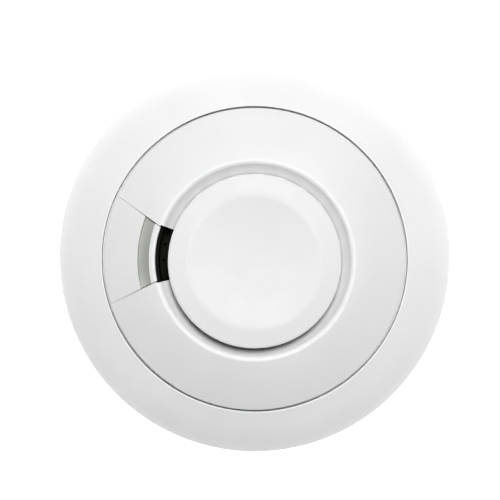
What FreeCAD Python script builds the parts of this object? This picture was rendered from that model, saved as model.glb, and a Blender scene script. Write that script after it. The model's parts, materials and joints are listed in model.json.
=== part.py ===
import FreeCAD, Part
import math
import os

# Mains-powered optical smoke alarm: a mounting base screwed to the ceiling, and an alarm head that
# slides sideways onto it. The frame's origin is the centre of the face that meets the ceiling,
# +Z points out of the alarm's front, and the test button is on the -X side. All sizes are in mm.

os.makedirs("parts", exist_ok=True)

# Driving dimensions
OUTER_RADIUS = 70.5
TOTAL_HEIGHT = 49.0
WALL = 2.2
SMALL_EDGE = 0.4
# The circuit board's two faces, which most of the inside hangs on
BOARD_BOTTOM = 19.8
BOARD_TOP = 21.4
# How far a cutting tool reaches past the surface it cuts
PAST = 1.0

# Mounting base
BASE_RADIUS = 66.5
BASE_FLOOR = 2.4
BASE_RIM_TOP = 4.2
BOX_SCREW_SPACING = 60.3
WIDE_SCREW_SPACING = 83.0
SCREW_SLOT_WIDTH = 4.5
SCREW_SLOT_LENGTH = 9.0
CABLE_ENTRY_X = -1.0
CABLE_ENTRY_RADIUS = 6.5
CABLE_COLLAR_WALL = 1.3
CABLE_COLLAR_HEIGHT = 2.0

# Hooks on the base, keyholes in the head, and the latch between them
HEAD_TRAVEL = 16.0
HOOK_PLACES = [(-22.0, -40.0), (-22.0, 40.0), (34.0, -40.0), (34.0, 40.0)]
HOOK_LENGTH = 6.0
HOOK_NECK_WIDTH = 4.0
HOOK_HEAD_WIDTH = 9.0
HOOK_NECK_TOP = 7.4
HOOK_TOP = 9.2
KEYHOLE_GAP = 0.5
KEYHOLE_END_GAP = 1.3
KEYHOLE_HEAD_GAP = 0.7
LATCH_TIP_X = -62.0
LATCH_ROOT_X = -50.5
LATCH_FOOT_X = -47.2
LATCH_HALF_WIDTH = 2.5
LATCH_THICKNESS = 1.0
LATCH_LIFT = 0.8
BARB_STEEP_X = -61.4
BARB_SLOPE_X = -59.2
LATCH_SIDE_GAP = 0.6

# Terminals
WAYS_Y = [-12.0, -4.0, 4.0, 12.0]
BLOCK_FRONT_X = 8.0
BLOCK_BACK_X = 25.8
BLOCK_HALF_WIDTH = 18.0
BLOCK_TOP = 14.5
BLOCK_FRONT_WALL = 1.2
BLOCK_BACK_WALL = 1.0
BORE_GAP = 0.2
CONTACT_HEIGHT = 8.2
CONTACT_SIDE = 5.6
CONTACT_GAP = 0.1
CONTACT_WALL_GAP = 0.2
WIRE_BORE_RADIUS = 1.9
CLAMP_X = BLOCK_FRONT_X + 5.5
CLAMP_SHANK_RADIUS = 1.5
CLAMP_HEAD_RADIUS = 2.7
CLAMP_HEAD_HEIGHT = 1.8
CLAMP_HEAD_LIFT = 0.6
CLAMP_DEPTH = 1.2
CLAMP_SLOT_WIDTH = 0.8
WIRE_STOP = 2.0
PIN_RADIUS = 1.15
PIN_ENTRY_GAP = 0.45
PIN_GRIP_GAP = 0.07
PIN_SEAT_GAP = 0.03
PIN_TIP_X = 17.6
PIN_ROOT_X = 32.0
COVER_FRONT_X = -10.4
COVER_BACK_X = 26.0
COVER_HALF_WIDTH = 20.4
COVER_TOP = 17.2
COVER_WALL = 1.2
PLUG_FRONT_X = 27.5
PLUG_BACK_X = 35.5
PLUG_BOTTOM = 5.6

# Alarm head, outer shell
SKIRT_BOTTOM = 4.6
SKIRT_SLOPE = 29.0
SKIRT_BEND = 20.0
SEAM_RADIUS = 53.55
SEAM_HEIGHT = 28.5
SEAM_EDGE = 0.35
LEDGE_TOP = 25.0
LEDGE_BOTTOM = 23.6
LEDGE_INNER_RADIUS = 49.8
SHELL_BOSS_RADIUS = 4.0
RELEASE_NOTCH_HALF_WIDTH = 4.0
RELEASE_NOTCH_HEIGHT = 2.2
RELEASE_NOTCH_END_X = -65.0
HINGE_RELIEF_X = -51.0

# Front cover, a sloping ring with a groove round the cap
RING_RADIUS = 53.05
RING_WALL = 2.1
RING_OUTER_SLOPE = 29.5
RING_INNER_SLOPE = 24.5
RING_BEND_RADIUS = 44.5
RING_BEND = 150.0
RING_EDGE = 0.8
CREST_RADIUS = 34.6
CREST_EDGE = 1.4
GROOVE_RADIUS = 32.3
GROOVE_EDGE = 5.0
GROOVE_HEIGHT = 36.4
GROOVE_SLOPE = 14.0
GROOVE_THICKNESS = 1.8
RING_UNDER_EDGE = 0.8
CREST_UNDER_RADIUS = CREST_RADIUS + 1.6
GROOVE_UNDER_RADIUS = GROOVE_RADIUS + 1.4
RING_HOLE_RADIUS = 27.0
BAND_HEIGHT = 1.2

# Centre cap and smoke inlet
CAP_RADIUS = 29.6
CAP_EDGE = 0.8
CAP_UNDERSIDE = 43.4
CAP_RIM_BOTTOM = 46.0
CAP_FOOT_RADIUS = 27.8
DISH_RADIUS = 22.8
DISH_DEPTH = 1.5
DISH_RIDGE_FILLET = 6.0
CROWN_SLOPE = 8.0
INLET_RIBS = 24
RIB_INNER_RADIUS = 27.4
RIB_OUTER_RADIUS = 29.2
RIB_THICKNESS = 1.4
RIB_ROOT = 1.2

# Test button, a wedge in the front cover. The seam beside it is wider near the cap, where it swings most.
WEDGE_APEX_X = -17.0
WEDGE_HALF_ANGLE = 30.5
BUTTON_APEX_INSET = 0.39
BUTTON_SPLAY = 0.53
BUTTON_INNER_RADIUS = 34.4
BUTTON_SKIN = 1.8
BUTTON_DEPTH = 4.4
BUTTON_SIDE = 1.2
BUTTON_INNER_WALL = 1.6
BUTTON_TAIL_RADIUS = 49.6
HINGE_X = -48.0
HINGE_Z = 26.8
HINGE_PIN_RADIUS = 1.0
HINGE_CLEARANCE = 0.06
LUG_NEAR_Y = 9.4
LUG_FAR_Y = 11.6
LUG_BOSS_RADIUS = 1.5
LUG_ARM_X = -51.4
LUG_ARM_THICKNESS = 1.3
KNUCKLE_NEAR_Y = 5.6
KNUCKLE_FAR_Y = 9.1
KNUCKLE_RADIUS = 1.7
KNUCKLE_WEB = 1.2
HINGE_PIN_END_Y = 11.9

# Light window cut across the button, the switch below it, and the sounder's opening beside it
WINDOW_INNER_RADIUS = 36.7
WINDOW_OUTER_RADIUS = 40.7
WINDOW_RECESS = 2.4
WINDOW_BOTTOM = 3.2
WINDOW_LIP = 0.6
WINDOW_BAR_DEPTH = 1.2
LIGHT_LEG_RADIUS = 1.2
LIGHT_LEG_LIFT = 4.2
LED_RING_RADIUS = 38.7
LED_ANGLES = [10, 0, -10]
LED_RADIUS = 1.45
LED_BARREL = 1.9
SWITCH_X = -43.8
SWITCH_HALF_SIDE = 2.25
SWITCH_HEIGHT = 3.4
SWITCH_WELL_RADIUS = 1.3
SWITCH_WELL_BOTTOM = BOARD_TOP + 1.0
PLUNGER_BOTTOM = BOARD_TOP + 1.5
PLUNGER_RADIUS = 1.2
PLUNGER_TOP = 27.0
STEM_RADIUS = 0.9
STEM_GAP = 0.1
OPENING_HALF_ANGLE = 16.8

# Inside the head
CHASSIS_BOTTOM = 5.0
CHASSIS_FLOOR = 7.0
CHASSIS_RADIUS = 67.9
CHASSIS_LIP = 2.0
RECESS_HALF_WIDTH = 22.0
RECESS_FRONT_X = -27.0
RECESS_BACK_X = 38.0
RECESS_CEILING = 17.7
RECESS_WALL = 1.3
PLUG_HOLE = (27.0, 36.0, 18.5)
BOARD_RADIUS = 49.0
BOARD_POSTS = [(-30.0, -30.0), (-30.0, 30.0), (32.0, -28.0), (32.0, 28.0)]
BOARD_POST_RADIUS = 3.0
BOARD_SCREW_RADIUS = 1.1
BOARD_SCREW_END = 12.6
BOARD_SCREW_HEAD = 2.5
BOARD_HOLE_GAP = 0.3
BOARD_SCREW_HEAD_HEIGHT = 1.6
SHELL_SCREW_RING = 57.0
SHELL_SCREW_ANGLES = [20, 160, 200, 340]
SHELL_SCREW_RADIUS = 1.3
SHELL_SCREW_HEAD = 2.6
SHELL_SCREW_HEAD_HEIGHT = 1.3
SHELL_SCREW_END = 16.0
PILOT_GAP = 0.05

# Sounder
SOUNDER_X = -43.0
SOUNDER_RADIUS = 12.5
SOUNDER_BOTTOM = 9.5
PIEZO_HEIGHT = 12.0
PIEZO_RADIUS = 10.0
PIEZO_THICKNESS = 0.3
CERAMIC_RADIUS = 7.0
DUCT_INNER_RADIUS = 30.0
DUCT_OUTER_RADIUS = 34.3
DUCT_BOTTOM = 17.0
DUCT_FLOOR = 21.0
DUCT_TOP = 32.4
DUCT_WALL = 0.8
DUCT_OVERLAP_ANGLE = 1.0
DUCT_ROOM_ANGLE = 1.6
PORT_ANGLES = [-5, 5]
PORT_RADIUS = 0.6

# Sensing chamber
CHAMBER_RADIUS = 26.8
CHAMBER_FLOOR = 25.0
CHAMBER_TOP = 43.0
CHAMBER_LID = 1.4
CHAMBER_LID_RADIUS = 25.4
VANE_RING = 22.6
VANE_LENGTH = 6.0
VANE_THICKNESS = 1.0
VANE_TURN = 40
VANE_COUNT = 24
SCREEN_OUTER_RADIUS = 26.7
SCREEN_INNER_RADIUS = 26.3
SCREEN_WINDOW_WIDTH = 1.1
SCREEN_WINDOW_COUNT = 72
OPTIC_BORE = 2.6
OPTIC_GAP = 0.1
OPTIC_AXIS = CHAMBER_FLOOR + 3.8
OPTIC_ANGLES = {"infrared_led": 70, "photodiode": 205}
OPTIC_LENS_X = 11.5
OPTIC_BACK_X = 17.3
HOLDER_HALF_SIDE = 3.8
HOLDER_NEAR_X = 7.0
HOLDER_FAR_X = 18.6

# Backup cell
CELL_PLACE = (2.0, -37.0)
CELL_RADIUS = 11.5
CELL_BOTTOM = 13.6
CELL_TOP = 18.4
CLIP_HALF_WIDTH = 2.5
CLIP_THICKNESS = 0.5


# Basic shapes

def point(x, y, z):
    return FreeCAD.Vector(x, y, z)


def box(x_low, x_high, y_low, y_high, z_low, z_high):
    return Part.makeBox(x_high - x_low, y_high - y_low, z_high - z_low, point(x_low, y_low, z_low))


def box_round(x, y, half_x, half_y, z_low, z_high):
    """Upright box centred on a place."""
    return box(x - half_x, x + half_x, y - half_y, y + half_y, z_low, z_high)


def rod(radius, z_low, z_high, x=0.0, y=0.0):
    return Part.makeCylinder(radius, z_high - z_low, point(x, y, z_low))


def tube(outer, inner, z_low, z_high):
    return rod(outer, z_low, z_high).cut(rod(inner, z_low, z_high))


def rod_along_x(radius, x_low, x_high, y, z):
    return Part.makeCylinder(radius, x_high - x_low, point(x_low, y, z), point(1, 0, 0))


def rod_along_y(radius, y_low, y_high, x, z):
    return Part.makeCylinder(radius, y_high - y_low, point(x, y_low, z), point(0, 1, 0))


def polar(radius, degrees):
    angle = math.radians(degrees)
    return radius * math.cos(angle), radius * math.sin(angle)


def turned(shape, degrees):
    copy = shape.copy()
    copy.rotate(point(0, 0, 0), point(0, 0, 1), degrees)
    return copy


def mirrored(shape, side):
    """The shape itself for side 1, its mirror image on the -Y side for side -1."""
    if side > 0:
        return shape
    return shape.mirror(point(0, 0, 0), point(0, 1, 0))


def fuse(shapes):
    return shapes[0].fuse(shapes[1:]).removeSplitter()


def cut(shape, tools):
    return shape.cut(tools).removeSplitter()


def rounded_wire(corners):
    """Closed outline in the XZ plane. Each corner is (radius from the axis, height, fillet)."""
    places = [point(radius, 0, height) for radius, height, fillet in corners]
    bends = []
    for index, here in enumerate(places):
        fillet = corners[index][2]
        back = (places[index - 1] - here).normalize()
        ahead = (places[(index + 1) % len(places)] - here).normalize()
        half_angle = back.getAngle(ahead) / 2
        reach = fillet / math.tan(half_angle)
        middle = here + (back + ahead).normalize() * (fillet / math.sin(half_angle) - fillet)
        bends.append((here + back * reach, middle, here + ahead * reach))
    edges = []
    for index, (start, middle, end) in enumerate(bends):
        if corners[index][2] > 0:
            edges.append(Part.Arc(start, middle, end).toShape())
        following = bends[(index + 1) % len(bends)][0]
        edges.append(Part.LineSegment(end, following).toShape())
    return Part.Wire(edges)


def lathe(corners):
    """Solid made by turning a rounded outline about the Z axis."""
    solid = Part.Face(rounded_wire(corners)).revolve(point(0, 0, 0), point(0, 0, 1), 360)
    if solid.Volume < 0:
        solid.reverse()
    return solid


def sector(inner, outer, half_angle, z_low, z_high):
    """Ring segment centred on the -X axis."""
    outline = Part.makeCylinder(outer, z_high - z_low, point(0, 0, z_low), point(0, 0, 1), 2 * half_angle)
    return turned(outline, 180 - half_angle).cut(rod(inner, z_low, z_high))


def wedge(inset, z_low, z_high, splay=0.0):
    """Prism between the sides of the test button's opening, moved inwards by inset and splayed."""
    half_angle = math.radians(WEDGE_HALF_ANGLE + splay)
    apex_x = WEDGE_APEX_X - inset / math.sin(half_angle)
    far_x = -OUTER_RADIUS
    far_y = (apex_x - far_x) * math.tan(half_angle)
    corners = [point(apex_x, 0, z_low), point(far_x, far_y, z_low), point(far_x, -far_y, z_low)]
    face = Part.Face(Part.makePolygon(corners + corners[:1]))
    return face.extrude(point(0, 0, z_high - z_low))


def button_wedge(inset, z_low, z_high):
    """Prism between the test button's own sides, which leave a seam that widens towards the cap."""
    return wedge(BUTTON_APEX_INSET + inset, z_low, z_high, BUTTON_SPLAY)


# Surfaces that several parts share

def ring_height(radius):
    """Height of the front cover's sloping top at a radius, before its bend is rounded."""
    outer_part = RING_RADIUS - max(radius, RING_BEND_RADIUS)
    inner_part = max(RING_BEND_RADIUS - radius, 0)
    outer_rise = outer_part * math.tan(math.radians(RING_OUTER_SLOPE))
    inner_rise = inner_part * math.tan(math.radians(RING_INNER_SLOPE))
    return SEAM_HEIGHT + outer_rise + inner_rise


def groove_height(radius):
    """Height of the groove's floor, which falls gently towards the smoke inlet."""
    return GROOVE_HEIGHT - (GROOVE_RADIUS - radius) * math.tan(math.radians(GROOVE_SLOPE))


def slope_corner(drop):
    """The gentle bend half-way up the front cover's slope, or up a surface that far below it."""
    return RING_BEND_RADIUS, ring_height(RING_BEND_RADIUS) - drop, RING_BEND


def skirt_height(radius, depth=0.0):
    """Height of the outer housing's straight slope at a radius, or of a surface that far below it."""
    slope = math.radians(SKIRT_SLOPE)
    return SEAM_HEIGHT - (radius - SEAM_RADIUS) * math.tan(slope) - depth / math.cos(slope)


def shell_screw_places():
    return [polar(SHELL_SCREW_RING, angle) for angle in SHELL_SCREW_ANGLES]


# Mounting base and what is on it

def hook(x, y):
    neck = box_round(x, y, HOOK_LENGTH / 2, HOOK_NECK_WIDTH / 2, BASE_FLOOR, HOOK_NECK_TOP)
    head = box_round(x, y, HOOK_LENGTH / 2, HOOK_HEAD_WIDTH / 2, HOOK_NECK_TOP, HOOK_TOP)
    return neck.fuse(head)


def screw_slot(x, y, along_x):
    radius = SCREW_SLOT_WIDTH / 2
    reach = SCREW_SLOT_LENGTH / 2 - radius
    middle = box_round(0, 0, reach, radius, -PAST, BASE_FLOOR + PAST)
    ends = [rod(radius, -PAST, BASE_FLOOR + PAST, side * reach) for side in (-1, 1)]
    slot = turned(middle.fuse(ends), 0 if along_x else 90)
    slot.translate(point(x, y, 0))
    return slot


def mounting_base():
    rim_inner = BASE_RADIUS - WALL
    plate = lathe([(0, 0, 0), (BASE_RADIUS, 0, SMALL_EDGE), (BASE_RADIUS, BASE_RIM_TOP, SMALL_EDGE),
                   (rim_inner, BASE_RIM_TOP, SMALL_EDGE), (rim_inner, BASE_FLOOR, SMALL_EDGE),
                   (0, BASE_FLOOR, 0)])
    collar_top = BASE_FLOOR + CABLE_COLLAR_HEIGHT
    collar = rod(CABLE_ENTRY_RADIUS + CABLE_COLLAR_WALL, BASE_FLOOR, collar_top, CABLE_ENTRY_X)
    raised = [hook(x, y) for x, y in HOOK_PLACES] + [collar]
    holes = [rod(CABLE_ENTRY_RADIUS, -PAST, collar_top + PAST, CABLE_ENTRY_X)]
    for side in (-1, 1):
        holes.append(screw_slot(0, side * BOX_SCREW_SPACING / 2, False))
        holes.append(screw_slot(side * WIDE_SCREW_SPACING / 2, 0, True))
    notch_half = RELEASE_NOTCH_HALF_WIDTH
    latch_half = LATCH_HALF_WIDTH + LATCH_SIDE_GAP
    holes.append(box(LATCH_TIP_X - PAST, LATCH_ROOT_X - SMALL_EDGE, -latch_half, latch_half,
                     -PAST, BASE_FLOOR + PAST))
    holes.append(box(-BASE_RADIUS - PAST, LATCH_TIP_X + 2, -notch_half, notch_half,
                     BASE_FLOOR, BASE_RIM_TOP + PAST))
    return cut(fuse([plate] + raised), holes)


def terminal_block():
    body = box(BLOCK_FRONT_X, BLOCK_BACK_X, -BLOCK_HALF_WIDTH, BLOCK_HALF_WIDTH, BASE_FLOOR, BLOCK_TOP)
    pocket = CONTACT_SIDE / 2 + CONTACT_GAP
    pocket_front = BLOCK_FRONT_X + BLOCK_FRONT_WALL
    pocket_back = BLOCK_BACK_X - BLOCK_BACK_WALL
    holes = []
    for y in WAYS_Y:
        holes.append(box(pocket_front, pocket_back, y - pocket, y + pocket,
                         CONTACT_HEIGHT - pocket, CONTACT_HEIGHT + pocket))
        holes.append(rod_along_x(WIRE_BORE_RADIUS + BORE_GAP, BLOCK_FRONT_X - PAST, BLOCK_FRONT_X + 2,
                                 y, CONTACT_HEIGHT))
        holes.append(rod_along_x(PIN_RADIUS + PIN_ENTRY_GAP, BLOCK_BACK_X - 2, BLOCK_BACK_X + PAST,
                                 y, CONTACT_HEIGHT))
        holes.append(rod(CLAMP_HEAD_RADIUS + BORE_GAP, CONTACT_HEIGHT, BLOCK_TOP + PAST, CLAMP_X, y))
    return cut(body, holes)


def terminal_contacts():
    x_low = BLOCK_FRONT_X + BLOCK_FRONT_WALL + CONTACT_WALL_GAP
    x_high = BLOCK_BACK_X - BLOCK_BACK_WALL - CONTACT_WALL_GAP
    half = CONTACT_SIDE / 2
    contacts = []
    for y in WAYS_Y:
        body = box(x_low, x_high, y - half, y + half, CONTACT_HEIGHT - half, CONTACT_HEIGHT + half)
        wire_bore = rod_along_x(WIRE_BORE_RADIUS, x_low - PAST, CLAMP_X + WIRE_STOP + 0.1, y, CONTACT_HEIGHT)
        pin_bore = rod_along_x(PIN_RADIUS + PIN_GRIP_GAP, CLAMP_X + WIRE_STOP, x_high + PAST,
                               y, CONTACT_HEIGHT)
        thread = rod(CLAMP_SHANK_RADIUS + PILOT_GAP, CONTACT_HEIGHT, CONTACT_HEIGHT + half + PAST, CLAMP_X, y)
        contacts.append(cut(body, [wire_bore, pin_bore, thread]))
    return Part.Compound(contacts)


def terminal_screws():
    screws = []
    head_bottom = CONTACT_HEIGHT + CONTACT_SIDE / 2 + CLAMP_HEAD_LIFT
    head_top = head_bottom + CLAMP_HEAD_HEIGHT
    for y in WAYS_Y:
        shank = rod(CLAMP_SHANK_RADIUS, CONTACT_HEIGHT + CLAMP_DEPTH, head_bottom, CLAMP_X, y)
        head = rod(CLAMP_HEAD_RADIUS, head_bottom, head_top, CLAMP_X, y)
        slot = box_round(CLAMP_X, y, CLAMP_HEAD_RADIUS + PAST, CLAMP_SLOT_WIDTH / 2,
                         (head_bottom + head_top) / 2, head_top + PAST)
        screws.append(cut(shank.fuse(head), [slot]))
    return Part.Compound(screws)


def terminal_cover():
    outer = box(COVER_FRONT_X, COVER_BACK_X, -COVER_HALF_WIDTH, COVER_HALF_WIDTH, BASE_FLOOR, COVER_TOP)
    outer = outer.makeFillet(1.0, [edge for edge in outer.Edges if edge.CenterOfMass.z > COVER_TOP - 0.1])
    inner_half = COVER_HALF_WIDTH - COVER_WALL
    inside = box(COVER_FRONT_X + COVER_WALL, COVER_BACK_X + PAST, -inner_half, inner_half,
                 BASE_FLOOR - PAST, COVER_TOP - COVER_WALL)
    return cut(outer, [inside])


def latch_finger():
    finger_bottom = BASE_FLOOR + LATCH_LIFT
    finger_top = finger_bottom + LATCH_THICKNESS
    root = box(LATCH_ROOT_X, LATCH_FOOT_X, -LATCH_HALF_WIDTH, LATCH_HALF_WIDTH, BASE_FLOOR, finger_top)
    finger = box(LATCH_TIP_X, LATCH_ROOT_X, -LATCH_HALF_WIDTH, LATCH_HALF_WIDTH, finger_bottom, finger_top)
    corners = [point(BARB_STEEP_X, -LATCH_HALF_WIDTH, finger_top),
               point(BARB_SLOPE_X, -LATCH_HALF_WIDTH, finger_top),
               point(BARB_STEEP_X, -LATCH_HALF_WIDTH, CHASSIS_FLOOR - SMALL_EDGE)]
    barb_side = Part.Face(Part.makePolygon(corners + corners[:1]))
    return fuse([root, finger, barb_side.extrude(point(0, 2 * LATCH_HALF_WIDTH, 0))])


# Shells of the head

def outer_housing():
    inner_radius = OUTER_RADIUS - WALL
    slope = math.radians(SKIRT_SLOPE)
    ledge_end = SEAM_RADIUS + (SEAM_HEIGHT - WALL / math.cos(slope) - LEDGE_BOTTOM) / math.tan(slope)
    shell = lathe([(OUTER_RADIUS, SKIRT_BOTTOM, SMALL_EDGE),
                   (OUTER_RADIUS, skirt_height(OUTER_RADIUS), SKIRT_BEND),
                   (SEAM_RADIUS, SEAM_HEIGHT, SEAM_EDGE),
                   (SEAM_RADIUS, LEDGE_TOP, 0),
                   (LEDGE_INNER_RADIUS, LEDGE_TOP, SMALL_EDGE / 2),
                   (LEDGE_INNER_RADIUS, LEDGE_BOTTOM, SMALL_EDGE / 2),
                   (ledge_end, LEDGE_BOTTOM, 0),
                   (inner_radius, skirt_height(inner_radius, WALL), SKIRT_BEND - WALL),
                   (inner_radius, SKIRT_BOTTOM, SMALL_EDGE)])
    bosses = []
    holes = []
    for x, y in shell_screw_places():
        bosses.append(rod(SHELL_BOSS_RADIUS, CHASSIS_FLOOR, LEDGE_BOTTOM + 0.2, x, y))
        holes.append(rod(SHELL_SCREW_RADIUS + PILOT_GAP, CHASSIS_FLOOR - PAST, SHELL_SCREW_END + 1, x, y))
    release_notch = box(-OUTER_RADIUS - PAST, RELEASE_NOTCH_END_X,
                        -RELEASE_NOTCH_HALF_WIDTH, RELEASE_NOTCH_HALF_WIDTH,
                        SKIRT_BOTTOM - PAST, SKIRT_BOTTOM + RELEASE_NOTCH_HEIGHT)
    hinge_relief = box_round((HINGE_RELIEF_X + HINGE_X) / 2, 0, (HINGE_X - HINGE_RELIEF_X) / 2, LUG_FAR_Y + 1,
                             LEDGE_BOTTOM - PAST, LEDGE_TOP + PAST)
    return cut(fuse([shell] + bosses), holes + [release_notch, hinge_relief])


def keyhole(x, y):
    """Slot in the chassis floor for one base hook: narrow at rest, wide after the head has slid off."""
    narrow = box(x - HEAD_TRAVEL, x + HOOK_LENGTH / 2 + KEYHOLE_GAP, y - HOOK_NECK_WIDTH / 2 - KEYHOLE_GAP,
                 y + HOOK_NECK_WIDTH / 2 + KEYHOLE_GAP, CHASSIS_BOTTOM - PAST, CHASSIS_FLOOR + PAST)
    wide = box_round(x - HEAD_TRAVEL, y, HOOK_LENGTH / 2 + KEYHOLE_END_GAP,
                     HOOK_HEAD_WIDTH / 2 + KEYHOLE_HEAD_GAP, CHASSIS_BOTTOM - PAST, CHASSIS_FLOOR + PAST)
    return narrow.fuse(wide)


def rear_chassis():
    lip_inner = CHASSIS_RADIUS - WALL
    lip_top = CHASSIS_FLOOR + CHASSIS_LIP
    floor = lathe([(0, CHASSIS_BOTTOM, 0), (CHASSIS_RADIUS, CHASSIS_BOTTOM, SMALL_EDGE),
                   (CHASSIS_RADIUS, lip_top, SMALL_EDGE), (lip_inner, lip_top, SMALL_EDGE),
                   (lip_inner, CHASSIS_FLOOR, SMALL_EDGE), (0, CHASSIS_FLOOR, 0)])
    recess_outer = box(RECESS_FRONT_X - RECESS_WALL, RECESS_BACK_X + RECESS_WALL,
                       -RECESS_HALF_WIDTH - RECESS_WALL, RECESS_HALF_WIDTH + RECESS_WALL,
                       CHASSIS_BOTTOM + 0.5, RECESS_CEILING + RECESS_WALL)
    plug_x_low, plug_x_high, plug_half = PLUG_HOLE
    latch_half = LATCH_HALF_WIDTH + LATCH_SIDE_GAP
    holes = [box(RECESS_FRONT_X, RECESS_BACK_X, -RECESS_HALF_WIDTH, RECESS_HALF_WIDTH,
                 CHASSIS_BOTTOM - PAST, RECESS_CEILING),
             box(plug_x_low, plug_x_high, -plug_half, plug_half,
                 RECESS_CEILING - PAST, RECESS_CEILING + RECESS_WALL + PAST),
             box(BARB_STEEP_X - 0.5, BARB_SLOPE_X + 0.6, -latch_half, latch_half,
                 CHASSIS_BOTTOM - PAST, CHASSIS_FLOOR + PAST)]
    holes += [keyhole(x, y) for x, y in HOOK_PLACES]
    posts = []
    for x, y in BOARD_POSTS:
        posts.append(rod(BOARD_POST_RADIUS, CHASSIS_FLOOR - PAST, BOARD_BOTTOM, x, y))
        holes.append(rod(BOARD_SCREW_RADIUS + PILOT_GAP, BOARD_SCREW_END - 0.6, BOARD_BOTTOM + PAST, x, y))
    for x, y in shell_screw_places():
        holes.append(rod(SHELL_SCREW_RADIUS + 0.2, CHASSIS_BOTTOM - PAST, CHASSIS_FLOOR + PAST, x, y))
        holes.append(Part.makeCone(SHELL_SCREW_HEAD + 0.2, SHELL_SCREW_RADIUS + 0.2, SHELL_SCREW_HEAD_HEIGHT,
                                   point(x, y, CHASSIS_BOTTOM)))
    return cut(fuse([floor, recess_outer] + posts), holes)


def shell_screws():
    screws = []
    head_bottom = CHASSIS_BOTTOM + 0.1
    head_top = head_bottom + SHELL_SCREW_HEAD_HEIGHT
    for x, y in shell_screw_places():
        head = Part.makeCone(SHELL_SCREW_HEAD, SHELL_SCREW_RADIUS, SHELL_SCREW_HEAD_HEIGHT,
                             point(x, y, head_bottom))
        screws.append(fuse([head, rod(SHELL_SCREW_RADIUS, head_top, SHELL_SCREW_END, x, y)]))
    return Part.Compound(screws)


def hinge_lug(side):
    """Lug on the front cover's wall for one of the test button's hinge pins."""
    boss = rod_along_y(LUG_BOSS_RADIUS, LUG_NEAR_Y, LUG_FAR_Y, HINGE_X, HINGE_Z)
    arm_bottom = LEDGE_TOP + 0.1
    arm = box(LUG_ARM_X, HINGE_X, LUG_NEAR_Y, LUG_FAR_Y, arm_bottom, arm_bottom + LUG_ARM_THICKNESS)
    bore = rod_along_y(HINGE_PIN_RADIUS + HINGE_CLEARANCE, LUG_NEAR_Y - PAST, LUG_FAR_Y + PAST,
                       HINGE_X, HINGE_Z)
    return mirrored(boss.fuse(arm).cut(bore), side)


def front_cover():
    under = WALL / math.cos(math.radians(RING_OUTER_SLOPE))
    wall_inner = RING_RADIUS - RING_WALL
    ring = lathe([(RING_RADIUS, LEDGE_TOP, SMALL_EDGE / 2),
                  (RING_RADIUS, SEAM_HEIGHT, RING_EDGE),
                  slope_corner(0),
                  (CREST_RADIUS, ring_height(CREST_RADIUS), CREST_EDGE),
                  (GROOVE_RADIUS, GROOVE_HEIGHT, GROOVE_EDGE),
                  (RING_HOLE_RADIUS, groove_height(RING_HOLE_RADIUS), SMALL_EDGE),
                  (RING_HOLE_RADIUS, groove_height(RING_HOLE_RADIUS) - GROOVE_THICKNESS, SMALL_EDGE),
                  (GROOVE_UNDER_RADIUS, groove_height(GROOVE_UNDER_RADIUS) - GROOVE_THICKNESS,
                   RING_UNDER_EDGE),
                  (CREST_UNDER_RADIUS, ring_height(CREST_UNDER_RADIUS) - under, RING_UNDER_EDGE),
                  slope_corner(under),
                  (wall_inner, ring_height(wall_inner) - under, SMALL_EDGE),
                  (wall_inner, LEDGE_TOP, SMALL_EDGE / 2)])
    swept = tube(RING_RADIUS + PAST, CREST_RADIUS - 1.0, LEDGE_TOP - PAST, TOTAL_HEIGHT)
    band = tube(RING_RADIUS + 2 * PAST, wall_inner, LEDGE_TOP - 2 * PAST, LEDGE_TOP + BAND_HEIGHT)
    button_opening = wedge(0, LEDGE_TOP - PAST, TOTAL_HEIGHT).common(swept).cut(band)
    sound_opening = sector(CAP_RADIUS, BUTTON_INNER_RADIUS + 0.3, OPENING_HALF_ANGLE, LEDGE_TOP, TOTAL_HEIGHT)
    duct_room = sector(CAP_RADIUS, BUTTON_INNER_RADIUS + 0.5, OPENING_HALF_ANGLE + DUCT_ROOM_ANGLE,
                       LEDGE_TOP, DUCT_TOP + 0.4)
    body = cut(ring, [button_opening, sound_opening, duct_room])
    return fuse([body, hinge_lug(1), hinge_lug(-1)])


def centre_cap():
    edge_height = TOTAL_HEIGHT - (CAP_RADIUS - DISH_RADIUS) * math.tan(math.radians(CROWN_SLOPE))
    disc = lathe([(0, CAP_UNDERSIDE, 0), (CAP_FOOT_RADIUS, CAP_UNDERSIDE, SMALL_EDGE),
                  (CAP_RADIUS, CAP_RIM_BOTTOM, SMALL_EDGE), (CAP_RADIUS, edge_height, CAP_EDGE),
                  (DISH_RADIUS, TOTAL_HEIGHT, 0), (0, TOTAL_HEIGHT, 0)])
    ball_radius = (DISH_RADIUS ** 2 + DISH_DEPTH ** 2) / (2 * DISH_DEPTH)
    disc = disc.cut(Part.makeSphere(ball_radius, point(0, 0, TOTAL_HEIGHT - DISH_DEPTH + ball_radius)))
    ridge = [edge for edge in disc.Edges
             if abs(edge.BoundBox.XMax - DISH_RADIUS) < 0.01 and edge.BoundBox.ZMin > TOTAL_HEIGHT - 0.1]
    disc = disc.makeFillet(DISH_RIDGE_FILLET, ridge)
    rib = box(RIB_INNER_RADIUS, RIB_OUTER_RADIUS, -RIB_THICKNESS / 2, RIB_THICKNESS / 2,
              groove_height(RIB_OUTER_RADIUS), CAP_UNDERSIDE + RIB_ROOT)
    ribs = [turned(rib, index * 360 / INLET_RIBS) for index in range(INLET_RIBS)]
    return fuse([disc] + ribs)


# Test button, light window and switch

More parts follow.
